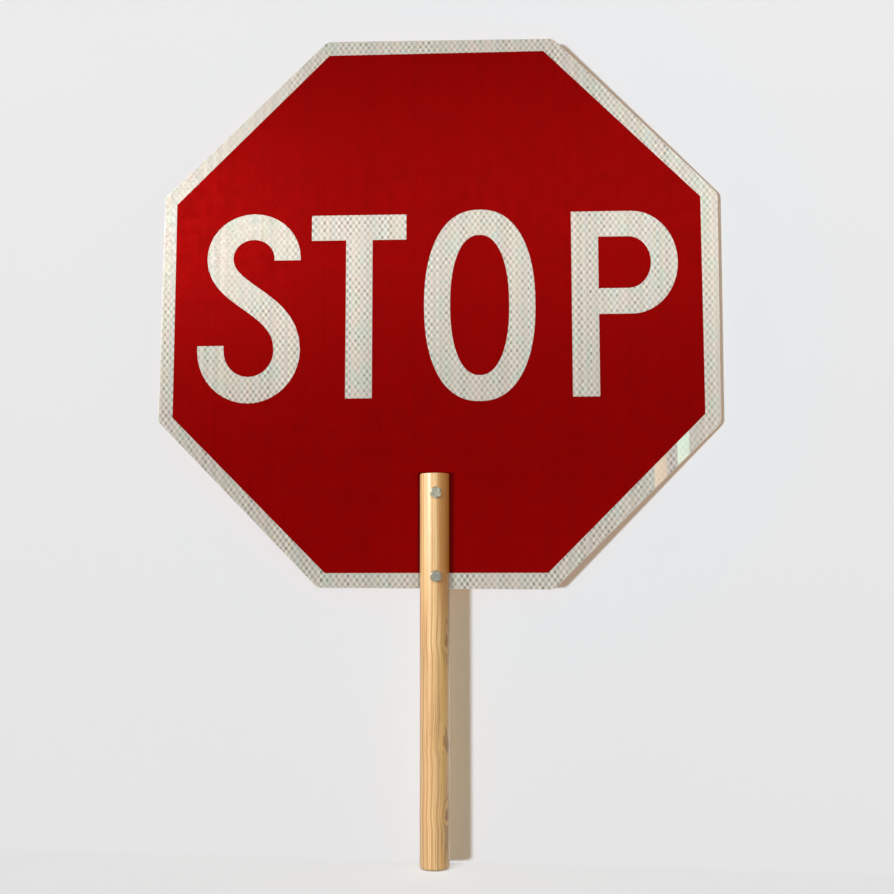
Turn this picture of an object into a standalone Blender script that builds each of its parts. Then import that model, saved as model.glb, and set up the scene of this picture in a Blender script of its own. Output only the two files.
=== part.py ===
"""Hand-held stop / slow traffic paddle: an octagonal sign clamped in the slot of a wooden dowel.

The paddle stands upright on the end of its handle. Z = 0 is that end, Z is the dowel's axis,
the STOP face looks towards -Y and the SLOW face towards +Y. The sign is a laminate: aluminium in the
middle, reflective sheeting on both faces, and cut overlay film on the sheeting.
"""

import math

import bmesh
import bpy

INCH = 0.0254
SKIN_GAP = 0.00005          # air left between two faces that touch in the real paddle

# The octagonal sign
SIGN_ACROSS = 18 * INCH     # across flats
SIGN_CORNER = 0.007
SIGN_CENTRE = (0.0023, 0.4457)
SIGN_TURN = math.radians(-0.5)      # the blank was clamped a hair out of line with its legend
BLANK_THICK = 0.0020
SHEET_THICK = 0.0003
SHEET_INSET = 0.0003        # the sheeting is trimmed just inside the blank's edge
FILM_THICK = 0.0001

# The legends, in their own plane: x to the right and z up from the legend's centre
LEGEND_CENTRE = (0.0012, 0.4462)
RED_ACROSS = 0.4331
STROKE = 0.0219             # width of a letter's upright stroke
BAR = 0.0213                # and of its level and curved ones
CAP_TOP = 0.0785
CAP_BOTTOM = -0.0749
ROUND_OVERSHOOT = 0.0030    # round letters rise this far past flat ones

# The rear border
BORDER_INSET = 0.0040
BORDER_WIDTH = 0.5 * INCH

# The handle
DOWEL_RADIUS = 15 / 32 * INCH
DOWEL_LENGTH = 0.3094
TOP_EASE = 0.0010           # rounding of the slotted end
FOOT_EASE = 0.0022          # and of the end that rests in the palm
DOWEL_SIDES = 72
SLOT_WIDTH = 0.0034
SLOT_FLOOR = SIGN_CENTRE[1] - SIGN_ACROSS / 2 - 0.0017
SEAT_FACE = 0.0112          # distance of the spot faces from the dowel's axis
HEAD_SEAT_RADIUS = 0.0050
WASHER_SEAT_RADIUS = 0.0068

# The two clamping bolts, number 10 machine hardware
BOLT_X = 0.0017             # the holes were drilled a little off the dowel's centre line
BOLT_HEIGHTS = {"upper": 0.2935, "lower": 0.2271}
BOLT_RADIUS = 0.00241
BOLT_HOLE_RADIUS = 0.0026
HEAD_ACROSS = 0.0081
HEAD_HEIGHT = 0.0030
TURNED_FACE = 0.96          # diameter of a hexagon's turned face, as a part of its width across flats
THREAD_PITCH = INCH / 24
THREAD_DEPTH = 0.00045
THREAD_TURNS = 6
THREAD_ROWS = 6             # rows of points along one pitch
SHANK_SIDES = 24
WASHER_RADIUS = 0.0063
WASHER_HOLE = 0.0027
WASHER_THICK = 0.0012
LOCK_OUTER = 0.0043
LOCK_THICK = 0.0011
LOCK_OPENING = math.radians(9)
NUT_ACROSS = 3 / 8 * INCH
NUT_THICK = INCH / 8
NUT_BORE = 0.00255
NUT_MOUTH = 0.0003          # countersink at both ends of the bore
TIP_PROUD = 0.0014          # bolt end past the nut
TIP_TAPER = 0.0004          # length of the taper at the bolt's end
HEX_CORNER_STEPS = 8        # points along one side of a hexagon


# Outlines, as lists of (x, z) points in order

def turned(points, angle, centre):
    """The points turned about the origin, then moved to the centre."""
    cos, sin = math.cos(angle), math.sin(angle)
    return [(x * cos - z * sin + centre[0], x * sin + z * cos + centre[1]) for x, z in points]


def mirrored(points):
    """The same outline as the other face shows it."""
    return [(-x, z) for x, z in points]


def arc(centre, radii, start, end, steps):
    """Points along part of an ellipse, from one angle to another in degrees."""
    angles = [math.radians(start + (end - start) * step / steps) for step in range(steps + 1)]
    return [(centre[0] + radii[0] * math.cos(a), centre[1] + radii[1] * math.sin(a)) for a in angles]


def circle(centre, radius, steps=28):
    return arc(centre, (radius, radius), 0, 360, steps)[:-1]


def bezier(start, handle_a, handle_b, end, steps):
    """Points inside a cubic curve, without its two ends."""
    points = []
    for step in range(1, steps):
        t = step / steps
        weights = ((1 - t) ** 3, 3 * t * (1 - t) ** 2, 3 * t * t * (1 - t), t ** 3)
        points.append(tuple(
            sum(w * p[axis] for w, p in zip(weights, (start, handle_a, handle_b, end))) for axis in (0, 1)))
    return points


def octagon(across, corner_radius=0.0, steps=5):
    """A regular octagon with flat top and sides, and rounded corners."""
    reach = (across / 2 - corner_radius) / math.cos(math.pi / 8)
    points = []
    for corner in range(8):
        middle = 22.5 + 45 * corner
        centre = (reach * math.cos(math.radians(middle)), reach * math.sin(math.radians(middle)))
        if corner_radius:
            points += arc(centre, (corner_radius, corner_radius), middle - 22.5, middle + 22.5, steps)
        else:
            points.append(centre)
    return points


def superellipse(centre, half, power, steps):
    """An oval with fuller shoulders than an ellipse."""
    points = []
    for step in range(steps):
        cos, sin = math.cos(2 * math.pi * step / steps), math.sin(2 * math.pi * step / steps)
        points.append((centre[0] + half[0] * math.copysign(abs(cos) ** (2 / power), cos),
                       centre[1] + half[1] * math.copysign(abs(sin) ** (2 / power), sin)))
    return points


def band(path, width):
    """The closed outline of a stroke of even width along an open path."""
    left, right = [], []
    for index, (x, z) in enumerate(path):
        before, after = path[max(index - 1, 0)], path[min(index + 1, len(path) - 1)]
        dx, dz = after[0] - before[0], after[1] - before[1]
        reach = width / 2 / math.hypot(dx, dz)
        left.append((x - dz * reach, z + dx * reach))
        right.append((x + dz * reach, z - dx * reach))
    return left + right[::-1]


# Letters

def letter_s(centre_x):
    """Two bowls and the spine between them. The ends are cut level."""
    upper, upper_radii = (centre_x, 0.0430), (0.0281, 0.0267)
    lower, lower_radii = (centre_x - 0.0034, -0.0342), (0.0317, 0.0331)
    upper_cut, lower_cut = 0.0410, -0.0303
    leave, arrive = 0.0325, 0.0410       # how straight the spine leaves and meets the bowls
    left = (upper[0] - upper_radii[0], upper[1])
    right = (lower[0] + lower_radii[0], lower[1])
    path = [(upper[0] + upper_radii[0], upper_cut)]
    path += arc(upper, upper_radii, 0, 180, 18)
    path += bezier(left, (left[0], left[1] - leave), (right[0], right[1] + arrive), right, 14)
    path += arc(lower, lower_radii, 0, -180, 20)
    path.append((lower[0] - lower_radii[0], lower_cut))
    return band(path, STROKE)


def letter_t(left, width, stem_left):
    bar = CAP_TOP - BAR
    stem_right = stem_left + STROKE
    return [(left, CAP_TOP), (left, bar), (stem_left, bar), (stem_left, CAP_BOTTOM),
            (stem_right, CAP_BOTTOM), (stem_right, bar), (left + width, bar), (left + width, CAP_TOP)]


def letter_o(centre_x):
    """The outer oval and the counter inside it."""
    middle = (CAP_TOP + CAP_BOTTOM) / 2
    half = (CAP_TOP - CAP_BOTTOM) / 2 + ROUND_OVERSHOOT
    half_width = 0.0455
    outer = superellipse((centre_x, middle), (half_width, half), 2.3, 80)
    counter = superellipse((centre_x, middle), (half_width - BAR, half - BAR), 2.25, 64)
    return outer, counter


def letter_p(left):
    """The outline with its stem and bowl, and the counter inside the bowl."""
    stem_right = left + STROKE
    bowl_foot = -0.0072
    middle = (CAP_TOP + bowl_foot) / 2
    half = CAP_TOP - middle
    bowl_x, bowl_reach = left + 0.0489, 0.0374
    counter_x, counter_reach = left + 0.0463, 0.0183
    outer = [(stem_right, bowl_foot), (stem_right, CAP_BOTTOM), (left, CAP_BOTTOM), (left, CAP_TOP)]
    outer += arc((bowl_x, middle), (bowl_reach, half), 90, -90, 22)
    counter = [(stem_right, middle - half + BAR), (stem_right, middle + half - BAR)]
    counter += arc((counter_x, middle), (counter_reach, half - BAR), 90, -90, 16)
    return outer, counter


def letter_l(left, width):
    foot = CAP_BOTTOM + BAR
    stem_right = left + STROKE
    return [(left, CAP_TOP), (left, CAP_BOTTOM), (left + width, CAP_BOTTOM), (left + width, foot),
            (stem_right, foot), (stem_right, CAP_TOP)]


def letter_w(left, width):
    """Four slanting strokes. The two in the middle meet in a peak."""
    slant = 1.06 * STROKE               # level width of a slanting stroke
    half = slant / 2
    feet_apart = 0.46 * width
    middle = left + width / 2
    foot_left, foot_right = middle - feet_apart / 2, middle + feet_apart / 2
    peak = CAP_TOP - 0.006
    under_peak = peak - 0.052
    crotch = CAP_BOTTOM + 0.047
    return [(left, CAP_TOP), (foot_left - half, CAP_BOTTOM), (foot_left + half, CAP_BOTTOM),
            (middle, under_peak), (foot_right - half, CAP_BOTTOM), (foot_right + half, CAP_BOTTOM),
            (left + width, CAP_TOP), (left + width - slant, CAP_TOP), (foot_right, crotch),
            (middle + half, peak), (middle - half, peak), (foot_left, crotch), (left + slant, CAP_TOP)]


# Solids

def make_object(name, mesh_builder, material, smooth=True):
    """One node: a mesh object with its own material, and sharp edges kept where the faces turn."""
    mesh = bpy.data.meshes.new(name)
    bm = bmesh.new()
    mesh_builder(bm)
    bmesh.ops.recalc_face_normals(bm, faces=bm.faces)
    bm.to_mesh(mesh)
    bm.free()
    mesh.materials.append(material)
    if smooth:
        mesh.shade_smooth()
        mesh.set_sharp_from_angle(angle=math.radians(30))
    obj = bpy.data.objects.new(name, mesh)
    bpy.context.scene.collection.objects.link(obj)
    return obj


def plate(name, loops, near, far, material):
    """A flat piece between two depths. The first loop is its edge, the others are holes through it."""
    def build(bm):
        edges = []
        for loop in loops:
            verts = [bm.verts.new((x, near, z)) for x, z in loop]
            edges += [bm.edges.new(pair) for pair in zip(verts, verts[1:] + verts[:1])]
        bmesh.ops.triangle_fill(bm, edges=edges, use_beauty=True)
        made = bmesh.ops.extrude_face_region(bm, geom=bm.faces[:])
        moved = [item for item in made["geom"] if isinstance(item, bmesh.types.BMVert)]
        bmesh.ops.translate(bm, verts=moved, vec=(0, far - near, 0))
    return make_object(name, build, material, smooth=False)


def loft(bm, rings, closed=False):
    """Skins rings of equal length. An open loft gets a flat cap at both ends."""
    rows = [[bm.verts.new(point) for point in ring] for ring in rings]
    pairs = list(zip(rows, rows[1:]))
    if closed:
        pairs.append((rows[-1], rows[0]))
    else:
        bm.faces.new(rows[0])
        bm.faces.new(rows[-1])
    for row, after in pairs:
        for a, b, c, d in zip(row, row[1:] + row[:1], after[1:] + after[:1], after):
            bm.faces.new((a, b, c, d))


def ring(centre, depth, radius_at, sides):
    """A ring in the XZ plane at one depth. Its radius is a function of the angle."""
    points = []
    for side in range(sides):
        angle = 2 * math.pi * side / sides
        radius = radius_at(angle)
        points.append((centre[0] + radius * math.sin(angle), depth, centre[1] + radius * math.cos(angle)))
    return points


def hexagon(across):
    """The radius of a hexagon, by angle, with a corner at angle zero."""
    sixth = math.pi / 3
    return lambda angle: across / 2 / math.cos(angle % sixth - sixth / 2)


def chamfered(across, rise):
    """How far a hexagon's corner falls below its face, by angle, where the face is turned round."""
    slope = math.tan(math.radians(30))
    radius_at = hexagon(across)
    return lambda angle: rise * (radius_at(angle) - TURNED_FACE * across / 2) * slope


def hex_rings(centre, face, across, rise):
    """The turned face and the chamfered edge of a hexagon. rise is -1 for a face towards -Y, else 1."""
    sides = 6 * HEX_CORNER_STEPS
    radius_at = hexagon(across)
    drop = chamfered(across, rise)
    edge = [(x, face - drop(2 * math.pi * side / sides), z)
            for side, (x, _, z) in enumerate(ring(centre, face, radius_at, sides))]
    return ring(centre, face, lambda angle: TURNED_FACE * across / 2, sides), edge


def thread_radius(angle, along):
    """The radius of a right-hand thread at a place along the shank."""
    phase = (along / THREAD_PITCH - angle / (2 * math.pi)) % 1
    return BOLT_RADIUS - THREAD_DEPTH * abs(2 * phase - 1)


def bolt(name, height, material):
    """A hex head towards -Y, a plain shank, and a thread at the rear end."""
    centre = (BOLT_X, height)
    seat = -SEAT_FACE - SKIN_GAP
    tip = SEAT_FACE + WASHER_THICK + LOCK_THICK + NUT_THICK + 3 * SKIN_GAP + TIP_PROUD
    thread_start = tip - TIP_TAPER - THREAD_TURNS * THREAD_PITCH
    inside_head = 0.0005                # how far the shank reaches into the head, to join with it

    def head(bm):
        face, edge = hex_rings(centre, seat - HEAD_HEIGHT, HEAD_ACROSS, -1)
        loft(bm, [face, edge, ring(centre, seat, hexagon(HEAD_ACROSS), 6 * HEX_CORNER_STEPS)])

    def shank(bm):
        rings = [ring(centre, seat - inside_head, lambda angle: BOLT_RADIUS, SHANK_SIDES),
                 ring(centre, thread_start, lambda angle: BOLT_RADIUS, SHANK_SIDES)]
        for row in range(1, THREAD_TURNS * THREAD_ROWS + 1):
            along = row * THREAD_PITCH / THREAD_ROWS
            rings.append(ring(centre, thread_start + along,
                              lambda angle, along=along: thread_radius(angle, along), SHANK_SIDES))
        rings.append(ring(centre, tip, lambda angle: BOLT_RADIUS - THREAD_DEPTH - TIP_TAPER / 2, SHANK_SIDES))
        loft(bm, rings)

    solid = make_object(name, head, material)
    tool = make_object(name + "_shank", shank, material)
    tool.hide_render = True
    tool.display_type = "WIRE"
    join = solid.modifiers.new("shank", "BOOLEAN")
    join.operation = "UNION"
    join.object = tool
    return solid


def washer(name, height, material):
    """A flat washer behind the dowel."""
    centre = (BOLT_X, height)
    near = SEAT_FACE + SKIN_GAP
    far = near + WASHER_THICK
    ease = 0.0002
    profile = [(WASHER_HOLE, near), (WASHER_RADIUS - ease, near), (WASHER_RADIUS, near + ease),
               (WASHER_RADIUS, far - ease), (WASHER_RADIUS - ease, far), (WASHER_HOLE, far)]

    def build(bm):
        loft(bm, [ring(centre, depth, lambda angle, r=r: r, 40) for r, depth in profile], closed=True)
    return make_object(name, build, material)


def lock_washer(name, height, material):
    """A split spring washer between the flat washer and the nut."""
    near = SEAT_FACE + WASHER_THICK + 2 * SKIN_GAP
    far = near + LOCK_THICK
    corners = ((WASHER_HOLE, near), (LOCK_OUTER, near), (LOCK_OUTER, far), (WASHER_HOLE, far))
    steps = 36
    sections = []
    for step in range(steps + 1):
        angle = LOCK_OPENING / 2 + (2 * math.pi - LOCK_OPENING) * step / steps
        sections.append([(BOLT_X + radius * math.sin(angle), depth, height + radius * math.cos(angle))
                         for radius, depth in corners])
    return make_object(name, lambda bm: loft(bm, sections), material)


def nut(name, height, material):
    """A hex nut with both faces turned round."""
    centre = (BOLT_X, height)
    near = SEAT_FACE + WASHER_THICK + LOCK_THICK + 3 * SKIN_GAP
    far = near + NUT_THICK
    sides = 6 * HEX_CORNER_STEPS
    near_face, near_edge = hex_rings(centre, near, NUT_ACROSS, -1)
    far_face, far_edge = hex_rings(centre, far, NUT_ACROSS, 1)
    rings = [ring(centre, near + NUT_MOUTH, lambda angle: NUT_BORE, sides),
             ring(centre, near, lambda angle: NUT_BORE + NUT_MOUTH, sides),
             near_face, near_edge, far_edge, far_face,
             ring(centre, far, lambda angle: NUT_BORE + NUT_MOUTH, sides),
             ring(centre, far - NUT_MOUTH, lambda angle: NUT_BORE, sides)]
    return make_object(name, lambda bm: loft(bm, rings, closed=True), material)


def cutter(name, build):
    """A helper that only cuts other pieces."""
    obj = make_object(name, build, plain_material("cutter", (1, 1, 1), 1, 0), smooth=False)
    obj.hide_render = True
    obj.display_type = "WIRE"
    return obj


def cut(obj, tool):
    modifier = obj.modifiers.new(tool.name, "BOOLEAN")
    modifier.operation = "DIFFERENCE"
    modifier.object = tool


def handle(material):
    """The dowel, slotted from its top end for the sign and drilled twice through the slot."""
    def rounding(end, inward, ease):
        """Heights and radii from a flat end to the side."""
        turns = [math.radians(18 * step) for step in range(6)]
        return [(end + inward * ease * (1 - math.cos(turn)), DOWEL_RADIUS - ease * (1 - math.sin(turn)))
                for turn in turns]

    def turned_rod(bm):
        profile = rounding(0.0, 1, FOOT_EASE) + rounding(DOWEL_LENGTH, -1, TOP_EASE)[::-1]
        turns = [2 * math.pi * side / DOWEL_SIDES for side in range(DOWEL_SIDES)]
        loft(bm, [[(radius * math.cos(turn), radius * math.sin(turn), height) for turn in turns]
                  for height, radius in profile])

    def slot(bm):
        margin = 0.01                   # the cutter reaches this far past the wood
        top = DOWEL_LENGTH + margin
        bmesh.ops.create_cube(bm, size=1)
        bmesh.ops.scale(bm, verts=bm.verts, vec=(2 * DOWEL_RADIUS + margin, SLOT_WIDTH, top - SLOT_FLOOR))
        bmesh.ops.translate(bm, verts=bm.verts, vec=(0, 0, (top + SLOT_FLOOR) / 2))

    rod = make_object("handle", turned_rod, material)
    cut(rod, cutter("slot_cutter", slot))
    for place, height in BOLT_HEIGHTS.items():
        beyond = DOWEL_RADIUS + 0.005
        steps = ((-beyond, HEAD_SEAT_RADIUS), (-SEAT_FACE, HEAD_SEAT_RADIUS), (-SEAT_FACE, BOLT_HOLE_RADIUS),
                 (SEAT_FACE, BOLT_HOLE_RADIUS), (SEAT_FACE, WASHER_SEAT_RADIUS), (beyond, WASHER_SEAT_RADIUS))
        rings = [ring((BOLT_X, height), depth, lambda angle, r=r: r, 40) for depth, r in steps]
        cut(rod, cutter(place + "_bolt_cutter", lambda bm, rings=rings: loft(bm, rings)))
    return rod


# Materials

def plain_material(name, colour, roughness, metallic):
    material = bpy.data.materials.new(name)
    material.use_nodes = True
    shader = material.node_tree.nodes["Principled BSDF"]
    shader.inputs["Base Color"].default_value = (*colour, 1)
    shader.inputs["Roughness"].default_value = roughness
    shader.inputs["Metallic"].default_value = metallic
    return material


def aluminium():
    return plain_material("aluminium", (0.72, 0.73, 0.74), 0.35, 1)


def white_sheeting():
    return plain_material("white_sheeting", (0.66, 0.62, 0.54), 0.35, 0)


def red_film():
    return plain_material("red_film", (0.34, 0.003, 0.002), 0.3, 0)


def orange_sheeting():
    return plain_material("orange_sheeting", (0.95, 0.17, 0.01), 0.35, 0)


def black_film():
    return plain_material("black_film", (0.012, 0.012, 0.013), 0.3, 0)


def pine():
    return plain_material("pine", (0.66, 0.44, 0.23), 0.5, 0)


def zinc():
    return plain_material("zinc", (0.62, 0.64, 0.64), 0.35, 1)


# Assembly

def sign_loop(loop):
    return turned(loop, SIGN_TURN, SIGN_CENTRE)


def legend_loop(loop):
    return turned(loop, 0, LEGEND_CENTRE)


def bolt_holes(places=("upper", "lower")):
    return [circle((BOLT_X, BOLT_HEIGHTS[place]), BOLT_HOLE_RADIUS) for place in places]


def sign(white, red, orange, black):
    """The laminate, from the aluminium outwards to both faces."""
    core = BLANK_THICK / 2
    blank_edge = octagon(SIGN_ACROSS, SIGN_CORNER)
    plate("sign_blank", [sign_loop(blank_edge), *bolt_holes()], -core, core, aluminium())

    sheet_near, sheet_far = core + SKIN_GAP, core + SKIN_GAP + SHEET_THICK
    sheet_edge = octagon(SIGN_ACROSS - 2 * SHEET_INSET, SIGN_CORNER - SHEET_INSET)
    plate("stop_sheeting", [sign_loop(sheet_edge), *bolt_holes()], -sheet_near, -sheet_far, white)
    plate("slow_sheeting", [sign_loop(sheet_edge), *bolt_holes()], sheet_near, sheet_far, orange)

    film_near, film_far = sheet_far + SKIN_GAP, sheet_far + SKIN_GAP + FILM_THICK
    o_outer, o_counter = letter_o(0.0357)
    p_outer, p_counter = letter_p(0.1109)
    letters = [letter_s(-0.1512), letter_t(-0.1030, 0.0785, -0.0744), o_outer, p_outer]
    red_loops = [legend_loop(loop) for loop in (octagon(RED_ACROSS), *letters)]
    plate("stop_red_film", [*red_loops, *bolt_holes(["upper"])], -film_near, -film_far, red)
    plate("stop_o_counter", [legend_loop(o_counter)], -film_near, -film_far, red)
    plate("stop_p_counter", [legend_loop(p_counter)], -film_near, -film_far, red)

    border_across = SIGN_ACROSS - 2 * BORDER_INSET
    border = [octagon(border_across, SIGN_CORNER - BORDER_INSET / 2),
              octagon(border_across - 2 * BORDER_WIDTH)]
    border_loops = [sign_loop(loop) for loop in border]
    plate("slow_border", [*border_loops, *bolt_holes(["lower"])], film_near, film_far, black)
    slow = {"slow_letter_s": [letter_s(-0.1530)],
            "slow_letter_l": [letter_l(-0.0975, 0.0660)],
            "slow_letter_o": list(letter_o(0.0270)),
            "slow_letter_w": [letter_w(0.0830, 0.1180)]}
    for name, loops in slow.items():
        plate(name, [legend_loop(mirrored(loop)) for loop in loops], film_near, film_far, black)


def hardware(metal):
    for place, height in BOLT_HEIGHTS.items():
        bolt("bolt_" + place, height, metal)
        washer("washer_" + place, height, metal)
        lock_washer("lock_washer_" + place, height, metal)
        nut("nut_" + place, height, metal)


def main():
    for obj in list(bpy.data.objects):
        bpy.data.objects.remove(obj, do_unlink=True)
    sign(white_sheeting(), red_film(), orange_sheeting(), black_film())
    handle(pine())
    hardware(zinc())


main()
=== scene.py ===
"""Looks of the stop / slow paddle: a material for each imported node, a pale stage, the lights and the camera.

All is in metres. The sign lies in the XZ plane, with STOP towards -Y, and the handle's axis is the Z axis.
"""

import math

import bpy
from mathutils import Matrix, Vector

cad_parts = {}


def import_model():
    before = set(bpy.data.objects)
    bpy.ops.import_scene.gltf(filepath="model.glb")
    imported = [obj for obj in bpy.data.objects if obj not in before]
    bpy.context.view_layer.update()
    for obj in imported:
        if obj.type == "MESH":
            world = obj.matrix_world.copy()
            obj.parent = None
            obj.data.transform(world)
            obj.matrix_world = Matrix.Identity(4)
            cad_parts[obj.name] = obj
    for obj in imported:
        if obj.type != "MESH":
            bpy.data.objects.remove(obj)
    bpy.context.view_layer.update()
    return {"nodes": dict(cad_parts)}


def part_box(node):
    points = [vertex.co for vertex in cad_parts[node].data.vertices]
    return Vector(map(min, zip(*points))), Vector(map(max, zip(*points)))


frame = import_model()
scene = bpy.context.scene


# Node graphs

NOISE_MIDDLE = 0.5
NOISE_SPAN = (0.3, 0.7)     # nearly all of a noise's values are in here


class Graph:
    """One material's nodes, with a short method for each kind that is used here."""

    def __init__(self, name):
        self.material = bpy.data.materials.new(name)
        self.material.use_nodes = True
        self.tree = self.material.node_tree
        self.shader = self.tree.nodes["Principled BSDF"]
        self.output = self.tree.nodes["Material Output"]

    def feed(self, socket, value):
        """Links a socket to another, or sets its value."""
        if isinstance(value, bpy.types.NodeSocket):
            self.tree.links.new(value, socket)
        elif isinstance(value, (tuple, list)) and socket.type == "RGBA":
            socket.default_value = (*value[:3], 1)
        else:
            socket.default_value = value

    def node(self, kind, settings=None, **inputs):
        made = self.tree.nodes.new("ShaderNode" + kind)
        for key, value in (settings or {}).items():
            setattr(made, key, value)
        for key, value in inputs.items():
            self.feed(made.inputs[key], value)
        return made

    def math(self, operation, *values):
        made = self.node("Math", {"operation": operation})
        for socket, value in zip(made.inputs, values):
            self.feed(socket, value)
        return made.outputs[0]

    def add(self, a, b):
        return self.math("ADD", a, b)

    def sub(self, a, b):
        return self.math("SUBTRACT", a, b)

    def mul(self, a, b):
        return self.math("MULTIPLY", a, b)

    def div(self, a, b):
        return self.math("DIVIDE", a, b)

    def larger(self, a, b):
        return self.math("MAXIMUM", a, b)

    def where(self):
        """The point's place in the object, which is its place in the CAD frame."""
        return self.node("TexCoord").outputs["Object"]

    def split(self, vector):
        """A vector's x, y and z."""
        return self.node("SeparateXYZ", Vector=vector).outputs[:3]

    def vector(self, x, y, z):
        return self.node("CombineXYZ", X=x, Y=y, Z=z).outputs[0]

    def scaled(self, where, factors):
        made = self.node("VectorMath", {"operation": "MULTIPLY"})
        self.feed(made.inputs[0], where)
        made.inputs[1].default_value = factors
        return made.outputs[0]

    def distance(self, where, centre):
        made = self.node("VectorMath", {"operation": "DISTANCE"})
        self.feed(made.inputs[0], where)
        made.inputs[1].default_value = centre
        return made.outputs["Value"]

    def noise(self, where, scale, detail=2.0, roughness=0.5, distortion=0.0):
        """A noise value of about 0 to 1, with its middle at 0.5."""
        return self.node("TexNoise", Vector=where, Scale=scale, Detail=detail, Roughness=roughness,
                         Distortion=distortion).outputs[0]

    def remap(self, value, low, high, to_low=0.0, to_high=1.0, smooth=True):
        """The value moved from one range to another and held inside it. The first range may run downwards."""
        kind = "SMOOTHSTEP" if smooth else "LINEAR"
        made = self.node("MapRange", {"interpolation_type": kind, "clamp": True})
        for key, part in (("Value", value), ("From Min", low), ("From Max", high),
                          ("To Min", to_low), ("To Max", to_high)):
            self.feed(made.inputs[key], part)
        return made.outputs[0]

    def spread(self, noise, low, high):
        """A noise stretched so that it runs from low to high."""
        return self.remap(noise, *NOISE_SPAN, low, high)

    def swing(self, level, value, amount):
        """The level, moved up or down by how far the value is from 0.5, times the amount."""
        return self.add(level, self.mul(self.sub(value, NOISE_MIDDLE), amount))

    def mix(self, factor, a, b, blend="MIX"):
        """Colour a where the factor is 0, and b, or b blended with a, where it is 1."""
        made = self.node("Mix", {"data_type": "RGBA", "blend_type": blend, "clamp_factor": True})
        self.feed(made.inputs["Factor"], factor)
        self.feed(made.inputs[6], a)
        self.feed(made.inputs[7], b)
        return made.outputs[2]

    def shade(self, colour, level):
        """The colour times the level."""
        grey = self.node("CombineColor", Red=level, Green=level, Blue=level).outputs[0]
        return self.mix(1.0, colour, grey, "MULTIPLY")

    def bump(self, height, distance):
        made = self.node("Bump", Height=height, Distance=distance, Strength=1.0)
        self.feed(self.shader.inputs["Normal"], made.outputs[0])

    def finish(self, colour, roughness, **constants):
        """Feeds the shader. An underscore in a constant's name stands for a space."""
        self.feed(self.shader.inputs["Base Color"], colour)
        self.feed(self.shader.inputs["Roughness"], roughness)
        for key, value in constants.items():
            self.feed(self.shader.inputs[key.replace("_", " ")], value)
        return self.material


# Reflective sheeting and overlay film

CELL_ACROSS = 0.0048        # the prisms' lattice, across and up
CELL_UP = 0.0064
FRONT_BANDS = (0.013, 3.7)  # mean width of the sheeting's upright bands, and the start of their random row
REAR_BANDS = (0.017, 9.2)
SHEETING_RELIEF = 0.00006   # depth of the bumps
FILM_RELIEF = 0.00004

CREAM = (0.530, 0.496, 0.437)       # the white sheeting's hues
GREENISH = (0.486, 0.512, 0.442)
PINKISH = (0.553, 0.488, 0.444)
BLUISH = (0.480, 0.498, 0.502)
MINT = (0.68, 0.79, 0.67)
PEACH = (0.74, 0.60, 0.48)
MINT_FLASH = (0.1948, 0.2046)       # two strips of the lower right border carry painted coloured glints
PEACH_FLASH = (0.1763, 0.1860)
FLASH_HEIGHTS = (0.2725, 0.3675)
GLARE_LEFT = (-0.09, -0.15)        # the lattice is painted fainter over these x and z, towards the upper left, as painted glare
GLARE_UP = (0.42, 0.50)
LEFT_SIDE = (-0.19, -0.09)          # from the left border to the first letter's middle
RIGHT_BORDER = (0.19, 0.215)
BOTTOM_BORDER = (0.24, 0.30)

RED_CLEAN = (0.222, 0.0004, 0.0003)
RED_WORN = (0.207, 0.0006, 0.0005)
RED_LOWER = (0.24, 0.42)            # the film is painted lighter downwards over these heights, as painted light
ORANGE = (0.80, 0.145, 0.008)
ORANGE_PALE = (0.82, 0.17, 0.010)
BLACK = (0.010, 0.010, 0.011)
BLACK_DUSTY = (0.030, 0.029, 0.028)


def lattice(g, x, z):
    """How much a point is in a dark facet and in a bright one of the staggered lattice, each 0 to 1."""
    u = g.div(x, CELL_ACROSS / (2 * math.pi))
    v = g.div(z, CELL_UP / (2 * math.pi))
    wave = g.mul(g.add(g.math("COSINE", g.add(u, v)), g.math("COSINE", g.sub(u, v))), 0.5)
    return g.remap(wave, 0.0, 0.85), g.remap(wave, -0.1, -0.9)


def bands(g, x, width, start):
    """Three random values, 0 to 1, for each upright band of uneven width."""
    place = g.add(g.div(x, width), start)
    made = g.node("TexVoronoi", {"voronoi_dimensions": "1D"}, W=place, Randomness=1.0)
    return g.node("SeparateColor", Color=made.outputs["Color"]).outputs[:3]


def strip(g, value, start, end, soft=0.0005):
    """One between start and end, zero outside."""
    return g.mul(g.remap(value, start - soft, start + soft), g.remap(value, end + soft, end - soft))


def painted_shade_by_handle(g, x, z):
    """Zero on the sign against the handle, rising to one a few millimetres away: the mask for the painted
    shade and shadow there.
    """
    left, right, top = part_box("handle")[0].x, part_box("handle")[1].x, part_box("handle")[1].z
    to_right = g.mul(g.sub(x, right), 0.7)      # the painted shadow reaches furthest on the right
    to_left = g.mul(g.sub(left, x), 1.6)
    above = g.mul(g.sub(z, top), 2.2)
    outside = g.larger(g.larger(to_right, to_left), above)
    return g.remap(outside, 0.0004, 0.0044)


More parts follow.
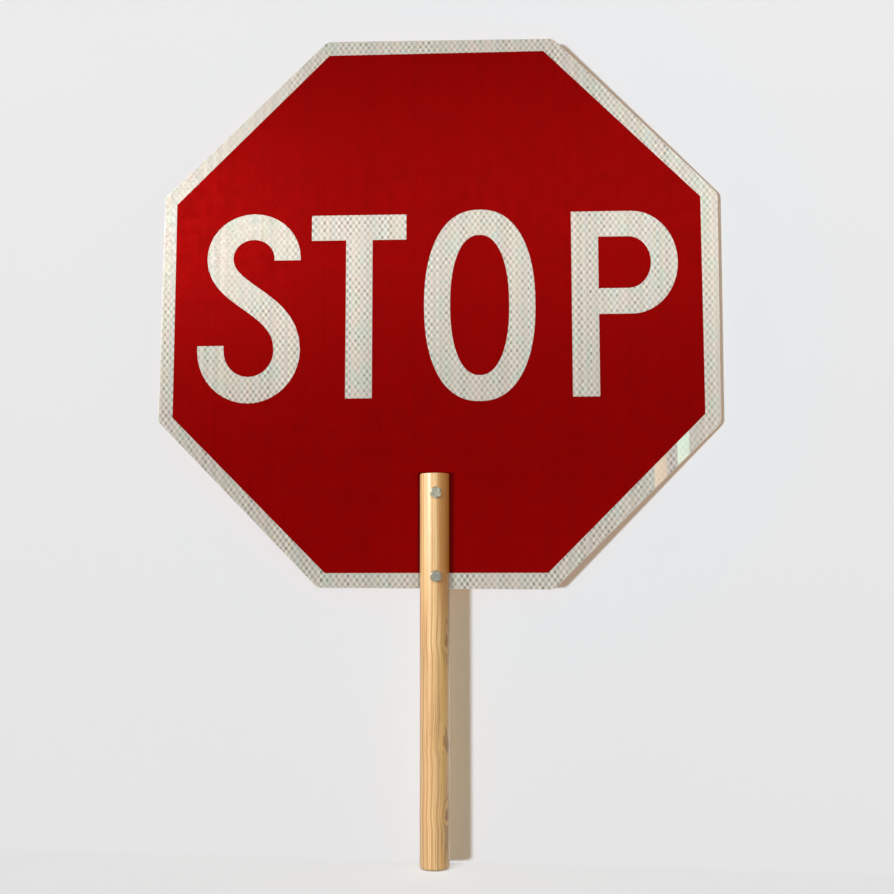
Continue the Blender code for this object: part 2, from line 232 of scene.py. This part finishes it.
def white_contrast(g, where, x, z, band, flash):
    """How strongly the lattice shows on the white sheeting: partly at random, and partly painted light,
    fainter towards the upper left and in the glints, stronger on the bottom border and fainter on the right
    border.
    """
    patches = g.remap(g.noise(where, 55.0), 0.35, 0.65, 0.65, 1.1)
    contrast = g.mul(g.remap(band, 0.0, 1.0, 0.55, 1.15), patches)
    painted_glare_fade = g.mul(g.remap(x, *GLARE_LEFT), g.remap(z, *GLARE_UP))
    contrast = g.mul(contrast, g.remap(painted_glare_fade, 0.0, 1.0, 1.0, 0.25))
    contrast = g.mul(contrast, g.sub(1.0, g.mul(flash, 0.8)))
    contrast = g.mul(contrast, g.spread(g.noise(where, 330.0), 0.55, 1.2))
    # painted light: the lattice stronger on the bottom border and fainter on the right border
    at_edges = g.mul(g.remap(z, *BOTTOM_BORDER, 1.2, 1.0), g.remap(x, *RIGHT_BORDER, 1.0, 0.65))
    return g.mul(contrast, at_edges)


def white_sheeting():
    g = Graph("white_prismatic")
    where = g.where()
    x, _, z = g.split(where)
    dark, bright = lattice(g, x, z)
    tone, band, cold = bands(g, x, *FRONT_BANDS)
    # painted coloured glints on two strips of the lower right border
    slanted = strip(g, z, *FLASH_HEIGHTS, soft=0.0025)
    mint = g.mul(slanted, strip(g, x, *MINT_FLASH))
    peach = g.mul(slanted, strip(g, x, *PEACH_FLASH))
    contrast = white_contrast(g, where, x, z, band, g.add(mint, peach))

    level = g.swing(1.0, tone, 0.14)
    level = g.sub(level, g.mul(g.mul(dark, contrast), 0.46))
    level = g.add(level, g.mul(g.mul(bright, contrast), 0.30))
    level = g.swing(level, g.noise(where, 700.0, 3.0), 0.22)
    # painted shade and shadow on the sheeting beside the handle
    level = g.mul(level, g.remap(painted_shade_by_handle(g, x, z), 0.0, 1.0, 0.6, 1.0))
    # painted light: the sheeting is painted darker on its left side and lighter on its right border
    level = g.mul(level, g.mul(g.remap(x, *LEFT_SIDE, 0.91, 1.0), g.remap(x, *RIGHT_BORDER, 1.0, 1.07)))

    hue = g.noise(g.scaled(where, (1.0, 1.0, 0.6)), 75.0, distortion=0.4)
    base = g.mix(g.remap(hue, 0.50, 0.68), CREAM, GREENISH)
    base = g.mix(g.remap(hue, 0.48, 0.32), base, PINKISH)
    base = g.mix(g.mul(g.remap(cold, 0.6, 0.9), 0.35), base, BLUISH)
    base = g.mix(mint, base, MINT)
    base = g.mix(peach, base, PEACH)

    g.bump(g.add(g.mul(dark, -0.4), g.mul(g.noise(where, 260.0, 3.0), 0.6)), SHEETING_RELIEF)
    roughness = g.spread(g.noise(where, 400.0, 3.0), 0.29, 0.37)
    return g.finish(g.shade(base, level), roughness, Metallic=0.35, Specular_IOR_Level=0.2)


def red_film():
    g = Graph("red_overlay_film")
    where = g.where()
    x, _, z = g.split(where)
    dark, bright = lattice(g, x, z)
    tone = bands(g, x, *FRONT_BANDS)[0]
    level = g.swing(1.0, tone, 0.05)
    level = g.sub(level, g.mul(dark, 0.06))
    level = g.add(level, g.mul(bright, 0.04))
    level = g.swing(level, g.noise(where, 30.0, 4.0), 0.14)
    wiped = g.noise(g.scaled(where, (170.0, 1.0, 9.0)), 1.0)
    level = g.swing(level, wiped, 0.12)
    # painted light: the film lighter towards the bottom
    level = g.mul(level, g.remap(z, *RED_LOWER, 1.09, 1.0))
    # painted shade and shadow on the film beside the handle
    level = g.mul(level, g.remap(painted_shade_by_handle(g, x, z), 0.0, 1.0, 0.38, 1.0))
    base = g.mix(g.remap(g.noise(where, 60.0, 3.0), 0.4, 0.7), RED_CLEAN, RED_WORN)
    g.bump(g.add(g.mul(g.noise(where, 180.0), 0.8), g.mul(dark, -0.2)), FILM_RELIEF)
    roughness = g.spread(g.noise(where, 90.0, 4.0), 0.29, 0.35)
    return g.finish(g.shade(base, level), roughness, Metallic=0.4, Specular_IOR_Level=0.02)


def orange_sheeting():
    g = Graph("orange_prismatic")
    where = g.where()
    x, _, z = g.split(where)
    dark, bright = lattice(g, x, z)
    tone, band = bands(g, x, *REAR_BANDS)[:2]
    contrast = g.remap(band, 0.0, 1.0, 0.4, 1.0)
    level = g.swing(1.0, tone, 0.08)
    level = g.sub(level, g.mul(g.mul(dark, contrast), 0.28))
    level = g.add(level, g.mul(g.mul(bright, contrast), 0.14))
    level = g.swing(level, g.noise(where, 900.0, 3.0), 0.08)
    base = g.mix(g.remap(g.noise(where, 60.0, 3.0), 0.4, 0.7), ORANGE, ORANGE_PALE)
    g.bump(g.add(g.mul(dark, -0.4), g.mul(g.noise(where, 260.0, 3.0), 0.6)), SHEETING_RELIEF)
    roughness = g.spread(g.noise(where, 400.0, 3.0), 0.36, 0.50)
    return g.finish(g.shade(base, level), roughness, Metallic=0.15, Specular_IOR_Level=0.25)


def black_film():
    g = Graph("black_overlay_film")
    where = g.where()
    dust = g.remap(g.noise(where, 700.0, 4.0, 0.7), 0.55, 0.8)
    colour = g.mix(g.mul(dust, 0.5), BLACK, BLACK_DUSTY)
    g.bump(g.noise(where, 180.0), FILM_RELIEF)
    roughness = g.spread(g.noise(where, 90.0, 4.0), 0.28, 0.44)
    return g.finish(colour, roughness, Specular_IOR_Level=0.4)


# Metals

ALUMINIUM_DULL = (0.56, 0.55, 0.52)
ALUMINIUM_CLEAN = (0.74, 0.74, 0.73)
ROLLING_LINES = (0.36, 0.35, 0.33)
ZINC = (0.44, 0.46, 0.38)
ZINC_BRIGHT = (0.54, 0.56, 0.46)
ZINC_PITTED = (0.28, 0.27, 0.22)
ZINC_DARKER = (0.30, 0.29, 0.28)
LOWER_DARKENING_HEIGHTS = (0.28, 0.24)      # the lower bolt and its hardware are darker than the upper ones


def aluminium():
    g = Graph("mill_aluminium")
    where = g.where()
    rolled = g.noise(g.scaled(where, (30.0, 2200.0, 900.0)), 1.0, 3.0)
    blotch = g.noise(where, 60.0, 4.0)
    colour = g.mix(blotch, ALUMINIUM_DULL, ALUMINIUM_CLEAN)
    colour = g.mix(g.mul(g.remap(rolled, 0.55, 0.75), 0.35), colour, ROLLING_LINES)
    g.bump(rolled, 0.00003)
    return g.finish(colour, g.spread(blotch, 0.34, 0.5), Metallic=1.0)


def zinc():
    g = Graph("zinc_plate")
    where = g.where()
    z = g.split(where)[2]
    cloud = g.noise(where, 500.0, 4.0)
    fine = g.noise(where, 4000.0, 3.0)
    colour = g.mix(g.remap(cloud, 0.35, 0.65), ZINC, ZINC_BRIGHT)
    colour = g.mix(g.mul(g.remap(fine, 0.5, 0.8), 0.25), colour, ZINC_PITTED)
    colour = g.mix(g.mul(g.remap(z, *LOWER_DARKENING_HEIGHTS), 0.35), colour, ZINC_DARKER)
    dented = g.noise(where, 190.0, 1.0)
    g.bump(g.add(g.add(g.mul(fine, 0.3), cloud), g.mul(dented, 7.0)), 0.00004)
    roughness = g.spread(g.noise(where, 900.0, 3.0), 0.26, 0.42)
    return g.finish(colour, roughness, Metallic=1.0)


# The handle's wood

RING_WIDTH = 0.0038
RING_START = 0.13           # where the outermost ring begins, in rings from the surface
GRAIN_NORMAL = math.radians(-34)    # the growth rings face this way, from +X towards -Y
SWELLS = ((0.175, 0.026), (0.093, 0.025), (0.040, 0.020))   # height of each swell, and its upper length
SWELL_RINGS = 0.23          # how far the grain bulges there, in rings
SHORT_SIDE = 2.4            # a swell ends this many times faster below than above
KNOT = 0.096                # height of the waviest grain
KNOT_REACH = 0.028

WOOD_PALE = (0.82, 0.60, 0.32)
WOOD_DEEP = (0.68, 0.44, 0.18)
WOOD_LOW_SHADE = (0.68, 0.45, 0.18)   # painted shade on the part below the sign
WOOD_LOW_LEFT_SHADE = (0.44, 0.33, 0.15)
WOOD_LOW_RIGHT_SHADE = (0.66, 0.35, 0.05)
WOOD_BLUSH = (0.72, 0.43, 0.20)
HEARTWOOD_AND_SHADE = (0.45, 0.180, 0.020)    # the upper part's right side: darker heartwood, and painted shade on the side turned from the light
LATE_WOOD = (0.30, 0.112, 0.008)
DARK_LINE = (0.38, 0.18, 0.035)
FIBRE = (0.44, 0.25, 0.09)
END_GRAIN = (0.40, 0.22, 0.09)


def ring_swell(g, z):
    """How many rings the grain bulges at a height. A ring that just meets the surface shows as an island."""
    total = 0.0
    for middle, length in SWELLS:
        away = g.larger(g.sub(z, middle), g.mul(g.sub(middle, z), SHORT_SIDE))
        total = g.add(g.remap(away, length, 0.0, 0.0, SWELL_RINGS, smooth=False), total)
    return total


def growth_rings(g, where, x, y, z):
    """How many rings in from the surface a point is, with the grain's waves and swells."""
    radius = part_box("handle")[1].x
    wander = g.sub(g.noise(g.scaled(where, (70.0, 70.0, 16.0)), 1.0, 3.0), NOISE_MIDDLE)
    ripple = g.sub(g.noise(g.scaled(where, (150.0, 150.0, 70.0)), 1.0), NOISE_MIDDLE)
    wavy = g.remap(g.math("ABSOLUTE", g.sub(z, KNOT)), KNOT_REACH, 0.0, 0.12, 0.7)
    across = g.add(g.mul(x, math.cos(GRAIN_NORMAL)), g.mul(y, math.sin(GRAIN_NORMAL)))
    rings = g.add(g.sub(g.div(g.sub(across, radius), RING_WIDTH), RING_START), ring_swell(g, z))
    return g.add(rings, g.add(g.mul(wander, 0.4), g.mul(ripple, wavy)))


def late_wood(g, rings):
    """How much a point is in the dark part of its ring. Some rings are stronger than others."""
    phase = g.math("FRACT", rings)
    which = g.math("FLOOR", rings)
    strength = g.node("TexWhiteNoise", {"noise_dimensions": "1D"}, W=which).outputs["Value"]
    late = g.mul(g.remap(phase, 0.0, 0.06), g.remap(phase, 0.42, 0.06))
    return g.mul(late, g.remap(strength, 0.0, 1.0, 0.6, 1.0, smooth=False))


def pine():
    g = Graph("sealed_pine")
    where = g.where()
    x, y, z = g.split(where)
    rings = growth_rings(g, where, x, y, z)
    late = late_wood(g, rings)
    fine = g.noise(g.vector(g.mul(rings, 5.0), 0.0, g.mul(z, 9.0)), 1.0, 4.0, 0.6)
    streak = g.noise(g.vector(g.mul(rings, 11.0), 3.0, g.mul(z, 14.0)), 1.0)
    fibre = g.noise(g.scaled(where, (2600.0, 2600.0, 26.0)), 1.0, 3.0)
    blush = g.noise(g.scaled(where, (160.0, 160.0, 20.0)), 1.0)
    heart_and_shade = g.mul(g.remap(g.swing(x, blush, 0.004), 0.0015, 0.0060), g.remap(z, 0.15, 0.24))
    low = g.remap(z, 0.25, 0.15)        # the part below the sign, which is painted darker as painted shade

    colour = g.mix(g.remap(fine, 0.38, 0.62), WOOD_PALE, WOOD_DEEP)
    # painted shade: the part below the sign darker, its left and right sides more so
    colour = g.mix(g.mul(low, 0.7), colour, WOOD_LOW_SHADE)
    colour = g.mix(g.mul(g.mul(low, g.remap(x, -0.003, -0.010)), 0.7), colour, WOOD_LOW_LEFT_SHADE)
    colour = g.mix(g.mul(g.mul(low, g.remap(x, 0.002, 0.008)), 0.7), colour, WOOD_LOW_RIGHT_SHADE)
    colour = g.mix(g.mul(g.remap(blush, 0.45, 0.7), 0.5), colour, WOOD_BLUSH)
    # darker heartwood and painted shade on the upper part's right side
    colour = g.mix(g.mul(heart_and_shade, 0.92), colour, HEARTWOOD_AND_SHADE)
    dark_lines = g.mul(g.remap(streak, 0.50, 0.62), g.remap(low, 0.0, 1.0, 0.4, 0.85))
    colour = g.mix(dark_lines, colour, DARK_LINE)
    colour = g.mix(g.mul(late, g.remap(low, 0.0, 1.0, 0.6, 0.95)), colour, LATE_WOOD)
    colour = g.mix(g.mul(g.remap(fibre, 0.52, 0.74), 0.28), colour, FIBRE)

    pores = g.remap(g.noise(where, 1500.0, 3.0), 0.5, 0.7)
    upward = g.split(g.node("NewGeometry").outputs["Normal"])[2]
    sawn = g.remap(g.math("ABSOLUTE", upward), 0.6, 0.9)
    colour = g.mix(g.mul(sawn, g.remap(pores, 0.0, 1.0, 0.25, 0.6)), colour, END_GRAIN)

    g.bump(g.add(g.mul(fibre, 0.7), g.mul(late, 0.4)), 0.00010)
    return g.finish(colour, g.spread(fibre, 0.32, 0.44), Specular_IOR_Level=0.5,
                    Coat_Weight=1.0, Coat_Roughness=0.24, Coat_IOR=1.6)


# Stage

WALL_OFFSET = 0.0223        # the backdrop's distance behind the handle's axis
WALL_SLOPE = -0.078         # it comes nearer to the right
WALL_FADE = (0.80, 1.10)    # a sheet melts into the background between these distances from its centre
WALL_CENTRE = (0, 0, 0.35)
FLOOR_FADE = (2.0, 4.5)
FLOOR_HEIGHT = -0.0002      # just under the handle's end
STAGE_WHITE = (0.80, 0.80, 0.80)
SIGN_MIDDLE = (0, 0, 0.4457)
COOL_TINT = (0.972, 0.998, 1.008)   # near the sign's middle, against the glow of its orange back
COOL_FADE = (0.36, 0.24)


def stage_material(name, centre, fade):
    """A pale matt surface, seen from its front only, that fades out away from its centre."""
    g = Graph(name)
    where = g.where()
    uneven = g.mul(g.sub(g.noise(where, 4.0, 3.0), NOISE_MIDDLE), 0.02)
    # painted light: the sheet is painted a little darker low down and lighter high up
    level = g.remap(g.split(where)[2], 0.0, 0.68, 0.965, 1.035, smooth=False)
    colour = g.shade(STAGE_WHITE, g.add(level, uneven))
    cool = g.mix(1.0, colour, COOL_TINT, "MULTIPLY")
    colour = g.mix(g.remap(g.distance(where, SIGN_MIDDLE), *COOL_FADE), colour, cool)
    g.finish(colour, g.spread(g.noise(where, 300.0), 0.85, 0.95), Specular_IOR_Level=0.0)

    start, end = fade
    front = g.sub(1.0, g.node("NewGeometry").outputs["Backfacing"])
    shown = g.mul(front, g.remap(g.distance(where, centre), end, start))
    mixed = g.node("MixShader")
    g.feed(mixed.inputs[0], shown)
    g.feed(mixed.inputs[1], g.node("BsdfTransparent").outputs[0])
    g.feed(mixed.inputs[2], g.shader.outputs[0])
    g.feed(g.output.inputs["Surface"], mixed.outputs[0])
    return g.material


def stage_sheet(name, corners, centre, fade):
    mesh = bpy.data.meshes.new(name)
    mesh.from_pydata(corners, [], [tuple(range(len(corners)))])
    mesh.materials.append(stage_material(name, centre, fade))
    obj = bpy.data.objects.new(name, mesh)
    scene.collection.objects.link(obj)
    return obj


def stage():
    """The floor that the paddle stands on, and a backdrop just behind it that only the camera sees."""
    far = FLOOR_FADE[1]
    corners = [(x, y, FLOOR_HEIGHT) for x, y in ((-far, -far), (far, -far), (far, far), (-far, far))]
    floor = stage_sheet("stage_floor", corners, (0, 0, 0), FLOOR_FADE)
    floor.visible_diffuse = False
    floor.visible_shadow = False

    reach = WALL_FADE[1]
    outline = ((-reach, 0), (reach, 0), (reach, 2 * reach), (-reach, 2 * reach))
    corners = [(x, WALL_OFFSET + WALL_SLOPE * x, z) for x, z in outline]
    wall = stage_sheet("stage_wall", corners, WALL_CENTRE, WALL_FADE)
    wall.visible_diffuse = False
    wall.visible_glossy = False
    wall.visible_transmission = False
    wall.visible_shadow = False
    return floor, wall


# Light

BACKDROP_LOW = (0.762, 0.762, 0.756, 1)     # what the camera sees past the stage, low down and high up
BACKDROP_HIGH = (0.835, 0.830, 0.825, 1)
ROOM_LIGHT = ((1.0, 0.99, 0.97, 1), 0.12)   # colour and strength
ROOM_MIRRORED = ((1.0, 1.0, 1.0, 1), 0.22)

MIDDLE = (0.0, 0.0, 0.4)
CLEAR = (1.0, 0.98, 0.95)
PURE = (1, 1, 1)

# Area lights: name, place, aim, power in watts, colour, the group that it lights, width and height, and
# whether glossy surfaces mirror it
AREA_LIGHTS = (
    ("key", (-1.28, -1.36, 0.80), MIDDLE, 30, (1.0, 0.96, 0.90), "grip", (0.8, 0.65), True),
    ("left_glow", (-1.8, -0.4, 0.95), (0, 0, 0.3), 20, (1.0, 0.72, 0.66), "grip", (0.5, 0.5), True),
    ("sign_key", (-1.10, -1.50, 0.66), MIDDLE, 4, (1.0, 0.96, 0.89), "sign", (0.13, 0.75), True),
    ("window", (-0.85, -1.50, 1.00), MIDDLE, 4.4, (1.0, 0.97, 0.92), "sign", (0.7, 0.2), True),
    ("upper", (0.15, -1.50, 1.00), (0.0, 0.0, 0.47), 8.0, CLEAR, "paddle", (2.0, 0.45), True),
    ("lower", (0.30, -1.50, 0.05), MIDDLE, 3.2, (1.0, 0.97, 0.93), "sign", (2.0, 0.4), True),
    ("low_right", (1.10, -1.30, 0.15), MIDDLE, 4, CLEAR, "sign", (0.8, 0.6), True),
    ("front_fill", (0.9, -2.4, 0.5), MIDDLE, 24, CLEAR, "paddle", (3.0, 2.0), False),
    ("back_fill", (-0.3, 2.5, 0.9), MIDDLE, 16, (1.0, 0.99, 0.97), "paddle", (3.0, 2.0), False),
    ("back", (0.9, 1.8, 1.5), MIDDLE, 22, (1.0, 0.99, 0.97), "paddle", (1.2, 1.2), True),
    ("side", (1.9, -0.3, 0.9), MIDDLE, 5, CLEAR, "paddle", (0.6, 1.2), False),
)

# Suns: name, the way to the sun, strength, colour, group, the sun's angle in degrees, and whether it casts
# shadows
SUNS = (
    ("wall_key", (-0.7, -1.0, -0.10), 2.68, (0.766, 0.866, 1.0), "wall", 7, True),
    ("wall_fill", (0, -1, 0), 1.03, (1.0, 0.785, 0.51), "wall", None, False),
    ("floor_key", (-0.12, -0.60, 1.0), 1.25, PURE, "floor", 30, True),
    ("floor_fill", (0, 0, 1), 1.66, PURE, "floor", None, False),
)


def world():
    """Soft light all round. The camera sees a pale backdrop in its place, a little darker low down."""
    made = bpy.data.worlds.new("studio")
    scene.world = made
    made.use_nodes = True
    tree = made.node_tree
    tree.nodes.clear()

    def node(kind, **inputs):
        new = tree.nodes.new("ShaderNode" + kind)
        for key, value in inputs.items():
            if isinstance(value, bpy.types.NodeSocket):
                tree.links.new(value, new.inputs[key])
            else:
                new.inputs[key].default_value = value
        return new

    def choose(choice, if_not, if_so):
        mixed = node("MixShader")
        for socket, source in zip(mixed.inputs, (choice, if_not, if_so)):
            tree.links.new(source, socket)
        return mixed.outputs[0]

    heading = node("SeparateXYZ", Vector=node("TexCoord").outputs["Generated"]).outputs["Z"]
    height = node("MapRange", **{"Value": heading, "From Min": -0.24, "From Max": 0.44}).outputs[0]
    pale = node("Mix")
    pale.data_type = "RGBA"
    tree.links.new(height, pale.inputs[0])
    pale.inputs[6].default_value = BACKDROP_LOW
    pale.inputs[7].default_value = BACKDROP_HIGH
    seen = node("Background", Color=pale.outputs[2]).outputs[0]
    diffuse = node("Background", Color=ROOM_LIGHT[0], Strength=ROOM_LIGHT[1]).outputs[0]
    mirrored = node("Background", Color=ROOM_MIRRORED[0], Strength=ROOM_MIRRORED[1]).outputs[0]
    path = node("LightPath").outputs
    unseen = choose(path["Is Glossy Ray"], diffuse, mirrored)
    tree.links.new(choose(path["Is Camera Ray"], unseen, seen), node("OutputWorld").inputs[0])


def group(name, objects):
    """A collection for light linking only."""
    made = bpy.data.collections.new(name)
    for obj in objects:
        made.objects.link(obj)
    return made


def light(name, kind, place, aim, strength, colour, receivers):
    """A light at a place, turned to its aim. It lights only the receivers."""
    data = bpy.data.lights.new(name, kind)
    data.energy = strength
    data.color = colour
    obj = bpy.data.objects.new(name, data)
    obj.location = place
    obj.rotation_euler = (Vector(aim) - Vector(place)).to_track_quat("-Z", "Y").to_euler()
    obj.light_linking.receiver_collection = receivers
    scene.collection.objects.link(obj)
    return obj


def lights(floor, wall):
    nodes = frame["nodes"]
    groups = {
        "paddle": group("lit_paddle", nodes.values()),
        "sign": group("lit_sign", [node for name, node in nodes.items() if name.startswith("s")]),
        "grip": group("lit_grip", [node for name, node in nodes.items() if not name.startswith("s")]),
        "wall": group("lit_wall", [wall]),
        "floor": group("lit_floor", [floor]),
    }
    for name, place, aim, power, colour, lit, size, mirrored in AREA_LIGHTS:
        obj = light(name, "AREA", place, aim, power, colour, groups[lit])
        obj.data.shape = "RECTANGLE"
        obj.data.size, obj.data.size_y = size
        obj.visible_glossy = mirrored
    for name, towards, strength, colour, lit, angle, shadows in SUNS:
        obj = light(name, "SUN", towards, (0, 0, 0), strength, colour, groups[lit])
        if angle:
            obj.data.angle = math.radians(angle)
        obj.data.use_shadow = shadows


# Camera

CAMERA_PLACE = Vector((0.061, -0.997, 0.223))
CAMERA_FORWARD = Vector((-0.0508, 0.9929, 0.1077))
CAMERA_UP = Vector((0.0066, -0.1075, 0.9942))
CAMERA_LENS = 49.93         # millimetres, on a sensor of this width
CAMERA_SENSOR = 36.0


def camera():
    data = bpy.data.cameras.new("camera")
    data.lens = CAMERA_LENS
    data.sensor_width = CAMERA_SENSOR
    data.clip_start = 0.01
    obj = bpy.data.objects.new("camera", data)
    back = -CAMERA_FORWARD.normalized()
    right = CAMERA_UP.cross(back).normalized()
    up = back.cross(right)
    turn = Matrix((right, up, back)).transposed().to_4x4()
    obj.matrix_world = Matrix.Translation(CAMERA_PLACE) @ turn
    scene.collection.objects.link(obj)
    scene.camera = obj


# All together

FASTENERS = ("bolt", "washer", "lock_washer", "nut")
HARDWARE = [f"{part}_{place}" for part in FASTENERS for place in ("upper", "lower")]


def dress(nodes, material):
    """Puts a material in every slot of the named nodes."""
    for name in nodes:
        for slot in frame["nodes"][name].material_slots:
            slot.material = material


def main():
    dress(["sign_blank"], aluminium())
    dress(["stop_sheeting"], white_sheeting())
    dress(["stop_red_film", "stop_o_counter", "stop_p_counter"], red_film())
    dress(["slow_sheeting"], orange_sheeting())
    dress(["slow_border", "slow_letter_s", "slow_letter_l", "slow_letter_o", "slow_letter_w"], black_film())
    dress(["handle"], pine())
    dress(HARDWARE, zinc())
    floor, wall = stage()
    world()
    lights(floor, wall)
    camera()
    scene.view_settings.view_transform = "Standard"


main()
